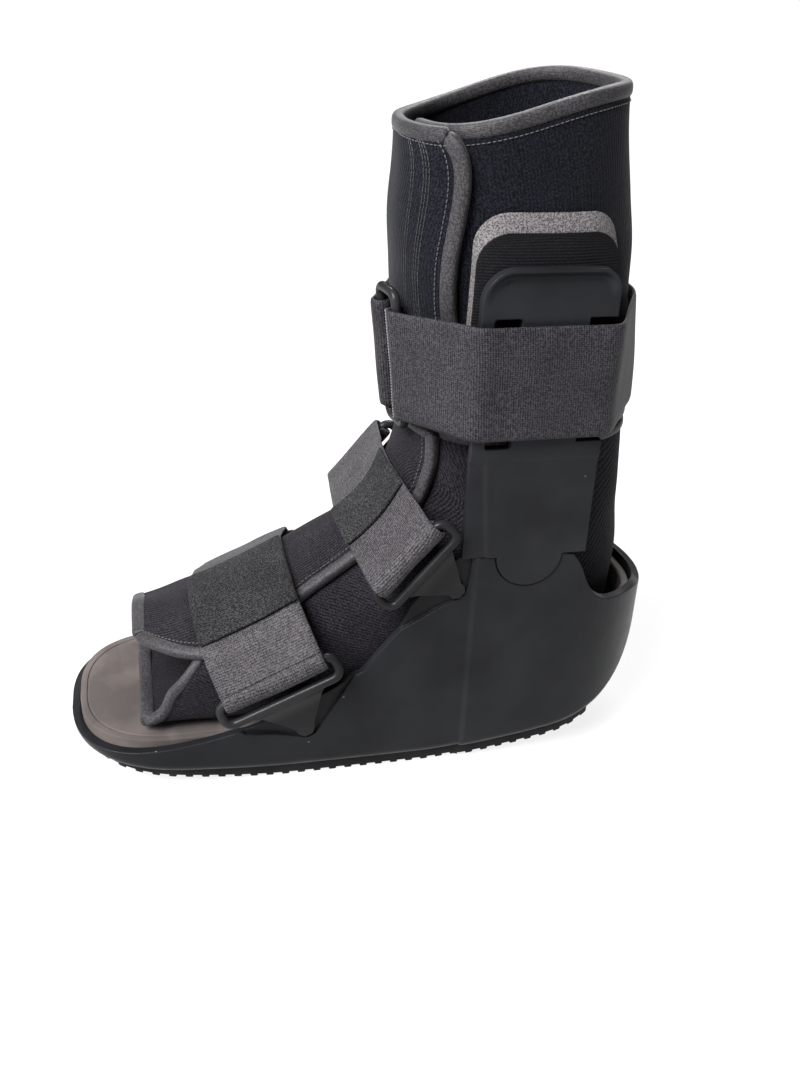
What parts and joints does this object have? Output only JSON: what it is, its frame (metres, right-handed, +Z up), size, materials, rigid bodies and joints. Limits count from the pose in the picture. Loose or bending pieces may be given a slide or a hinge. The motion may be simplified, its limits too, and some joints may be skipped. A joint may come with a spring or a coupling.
{
  "type": "orthopaedic_walking_boot",
  "caption": "Black walking boot with a moulded rocker shell, side struts, a padded wrap liner and webbing straps",
  "frame": {"origin": "on the flat bottom of a tread rib, midway across the sole", "axes": "toe to -X, heel to +X, the side shown in the picture to -Y, +Z up"},
  "size_m": [0.2879, 0.1298, 0.319],
  "materials": {
    "shell_plastic": "satin moulded black plastic",
    "tread_rubber": "matt black rubber with fine cross ribs",
    "foam": "matt grey-brown foam",
    "pad_foam": "grey foam edge with a black ribbed loop face",
    "liner_fabric": "black brushed loop fabric",
    "binding_knit": "dark grey knitted edge tape",
    "webbing": "dark grey woven webbing",
    "hook_tape": "near-black woven tape"
  },
  "bodies": {
    "root": {"ankle_strap": "webbing", "ankle_tab": "hook_tape", "binding_cuff_flap": "binding_knit", "binding_cuff_top": "binding_knit", "binding_foot_flap": "binding_knit", "calf_ring": "shell_plastic", "calf_strap": "webbing", "footbed": "foam", "forefoot_strap": "webbing", "forefoot_tab": "hook_tape", "heel_pad": "foam", "liner_cuff": "liner_fabric", "liner_foot": "liner_fabric", "outsole": "tread_rubber", "shell": "shell_plastic", "strap_loop_ankle_far": "shell_plastic", "strap_loop_ankle_near": "shell_plastic", "strap_loop_forefoot_far": "shell_plastic", "strap_loop_forefoot_near": "shell_plastic", "upright_far": "shell_plastic", "upright_near": "shell_plastic", "upright_pad_far": "pad_foam", "upright_pad_near": "pad_foam"}
  },
  "joints": []
}
